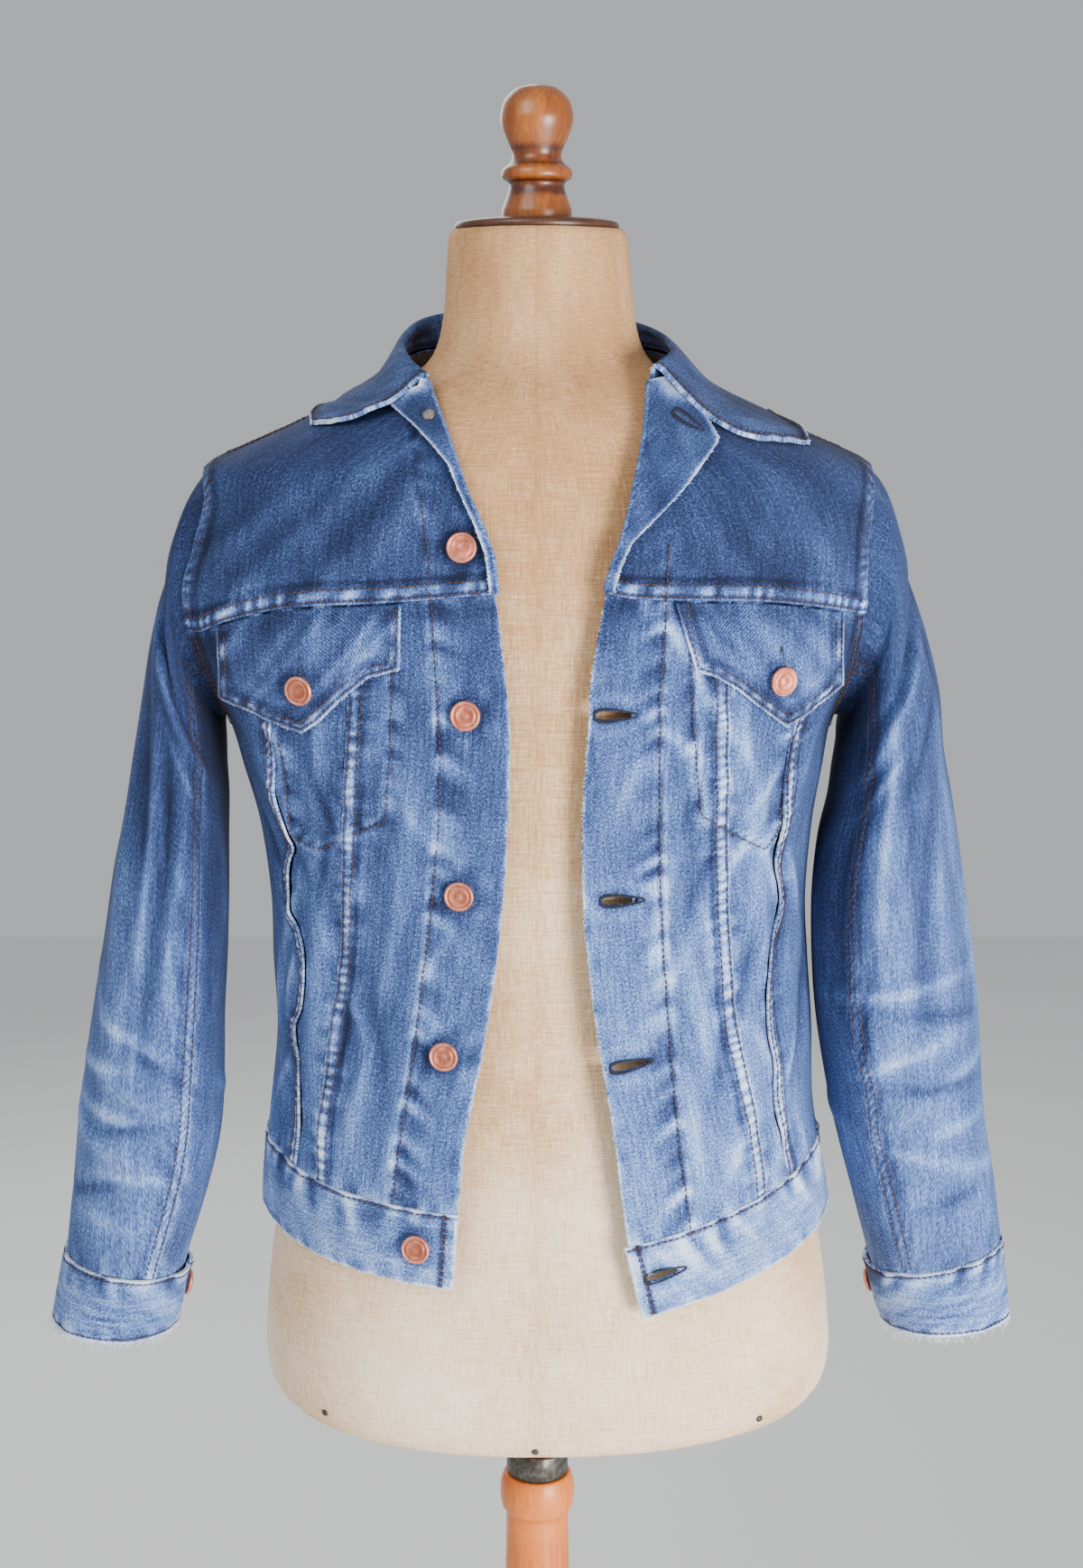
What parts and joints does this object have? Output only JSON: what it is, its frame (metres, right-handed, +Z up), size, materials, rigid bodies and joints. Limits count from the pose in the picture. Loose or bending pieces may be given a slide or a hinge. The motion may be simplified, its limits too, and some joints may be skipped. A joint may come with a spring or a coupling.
{
  "type": "denim jacket on a dress form",
  "caption": "Open trucker-style denim jacket with flapped chest pockets, worn on a limbless linen dress form with a turned wooden post and round base.",
  "frame": {"origin": "middle of the underside of the round base", "axes": "+Z up along the stand, the jacket's front faces -Y, +X is the wearer's left"},
  "size_m": [0.6025, 0.35, 1.5133],
  "materials": {
    "denim": "washed and worn",
    "copper": "worn copper",
    "linen": "matt",
    "wood": "varnished",
    "iron": "dull"
  },
  "bodies": {
    "root": {"right_front_centre": "denim", "right_front_middle": "denim", "right_front_side": "denim", "right_front_yoke": "denim", "right_top_sleeve": "denim", "right_under_sleeve": "denim", "right_cuff": "denim", "right_pocket_flap": "denim", "left_front_centre": "denim", "left_front_middle": "denim", "left_front_side": "denim", "left_front_yoke": "denim", "left_top_sleeve": "denim", "left_under_sleeve": "denim", "left_cuff": "denim", "left_pocket_flap": "denim", "right_back_side": "denim", "left_back_side": "denim", "back_centre": "denim", "back_yoke": "denim", "waistband": "denim", "collar": "denim", "neck_tack": "copper", "yoke_button": "copper", "front_button_1": "copper", "front_button_2": "copper", "front_button_3": "copper", "waistband_button": "copper", "right_pocket_button": "copper", "left_pocket_button": "copper", "right_cuff_button": "copper", "left_cuff_button": "copper", "form_body": "linen", "neck_cap": "wood", "finial": "wood", "stem": "wood", "ferrule": "iron", "post": "wood", "base": "wood"}
  },
  "joints": []
}
